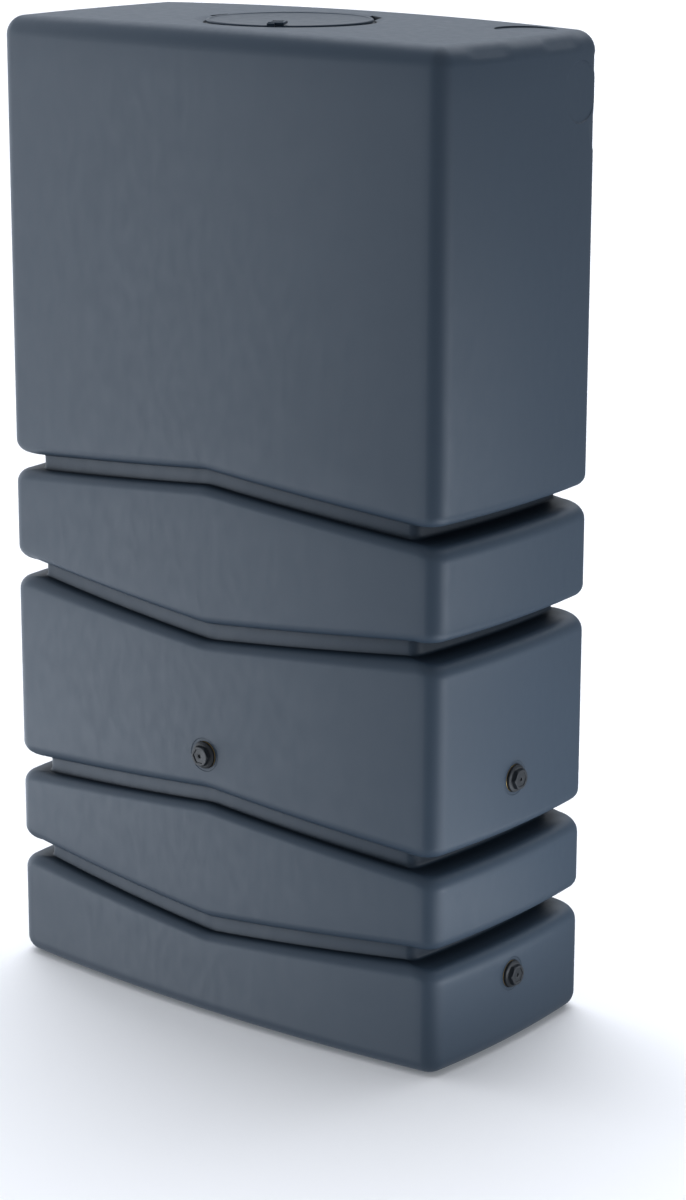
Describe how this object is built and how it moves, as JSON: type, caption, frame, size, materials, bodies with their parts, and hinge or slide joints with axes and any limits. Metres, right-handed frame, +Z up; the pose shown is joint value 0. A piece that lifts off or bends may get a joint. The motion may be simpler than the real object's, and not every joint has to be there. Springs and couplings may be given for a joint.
{
  "type": "rain barrel",
  "caption": "Tall slim plastic rain water tank with a bowed rectangular plan, deep grooves parting its bands, a round screw lid and plugged threaded outlets.",
  "frame": {"origin": "middle of the flat underside, on the ground", "axes": "+Z up, the longest way; +X along the broad face to the end on the viewer's right; the front faces -Y, the shortest way"},
  "size_m": [0.8232, 0.4116, 1.41],
  "materials": {
    "tank_plastic": "satin moulded polyethylene with a fine grain",
    "lid_plastic": "satin moulded plastic",
    "seal_rubber": "matt black rubber",
    "plug_plastic": "satin black moulded plastic",
    "insert_brass": "turned brass, slightly dull"
  },
  "bodies": {
    "tank": {"tank_body": "tank_plastic", "front_threaded_insert": "insert_brass", "right_upper_threaded_insert": "insert_brass", "right_lower_threaded_insert": "insert_brass", "left_upper_threaded_insert": "insert_brass", "left_lower_threaded_insert": "insert_brass"},
    "front_washer": {"front_plug_washer": "seal_rubber"},
    "front_plug": {"front_hex_plug": "plug_plastic"},
    "right_upper_washer": {"right_upper_plug_washer": "seal_rubber"},
    "right_upper_plug": {"right_upper_hex_plug": "plug_plastic"},
    "right_lower_washer": {"right_lower_plug_washer": "seal_rubber"},
    "right_lower_plug": {"right_lower_hex_plug": "plug_plastic"},
    "left_upper_washer": {"left_upper_plug_washer": "seal_rubber"},
    "left_upper_plug": {"left_upper_hex_plug": "plug_plastic"},
    "left_lower_washer": {"left_lower_plug_washer": "seal_rubber"},
    "left_lower_plug": {"left_lower_hex_plug": "plug_plastic"},
    "lid_seal": {"lid_seal": "seal_rubber"},
    "lid": {"lid": "lid_plastic"},
    "lid_lock": {"lid_lock_slide": "lid_plastic"}
  },
  "joints": [
    {"name": "front_plug_travel", "type": "slide", "parent": "tank", "child": "front_washer", "axis": [0, -1, 0], "range_m": [0, 0.01634]},
    {"name": "front_plug_turn", "type": "hinge", "parent": "front_washer", "child": "front_plug", "pos_m": [0, -0.1995, 0.395], "axis": [0, -1, 0], "range_deg": [0, 3240]},
    {"name": "right_upper_plug_travel", "type": "slide", "parent": "tank", "child": "right_upper_washer", "axis": [1, 0, 0], "range_m": [0, 0.01634]},
    {"name": "right_upper_plug_turn", "type": "hinge", "parent": "right_upper_washer", "child": "right_upper_plug", "pos_m": [0.3995, -0.008, 0.395], "axis": [1, 0, 0], "range_deg": [0, 3240]},
    {"name": "right_lower_plug_travel", "type": "slide", "parent": "tank", "child": "right_lower_washer", "axis": [1, 0, 0], "range_m": [0, 0.01634]},
    {"name": "right_lower_plug_turn", "type": "hinge", "parent": "right_lower_washer", "child": "right_lower_plug", "pos_m": [0.3995, -0.008, 0.107], "axis": [1, 0, 0], "range_deg": [0, 3240]},
    {"name": "left_upper_plug_travel", "type": "slide", "parent": "tank", "child": "left_upper_washer", "axis": [-1, 0, 0], "range_m": [0, 0.01634]},
    {"name": "left_upper_plug_turn", "type": "hinge", "parent": "left_upper_washer", "child": "left_upper_plug", "pos_m": [-0.3995, -0.008, 0.395], "axis": [-1, 0, 0], "range_deg": [0, 3240]},
    {"name": "left_lower_plug_travel", "type": "slide", "parent": "tank", "child": "left_lower_washer", "axis": [-1, 0, 0], "range_m": [0, 0.01634]},
    {"name": "left_lower_plug_turn", "type": "hinge", "parent": "left_lower_washer", "child": "left_lower_plug", "pos_m": [-0.3995, -0.008, 0.107], "axis": [-1, 0, 0], "range_deg": [0, 3240]},
    {"name": "lid_rise", "type": "slide", "parent": "tank", "child": "lid_seal", "axis": [0, 0, 1], "range_m": [0, 0.03334]},
    {"name": "lid_turn", "type": "hinge", "parent": "lid_seal", "child": "lid", "pos_m": [0, -0.008, 1.4], "axis": [0, 0, 1], "range_deg": [0, 100]},
    {"name": "lid_lock_travel", "type": "slide", "parent": "lid", "child": "lid_lock", "axis": [-0.5, 0.866, 0], "range_m": [0, 0.007]}
  ],
  "couplings": [
    {"joint": "front_plug_travel", "follows": "front_plug_turn", "m_per_rad": 0.00028875},
    {"joint": "right_upper_plug_travel", "follows": "right_upper_plug_turn", "m_per_rad": 0.00028875},
    {"joint": "right_lower_plug_travel", "follows": "right_lower_plug_turn", "m_per_rad": 0.00028875},
    {"joint": "left_upper_plug_travel", "follows": "left_upper_plug_turn", "m_per_rad": 0.00028875},
    {"joint": "left_lower_plug_travel", "follows": "left_lower_plug_turn", "m_per_rad": 0.00028875},
    {"joint": "lid_rise", "follows": "lid_turn", "m_per_rad": 0.019099}
  ]
}
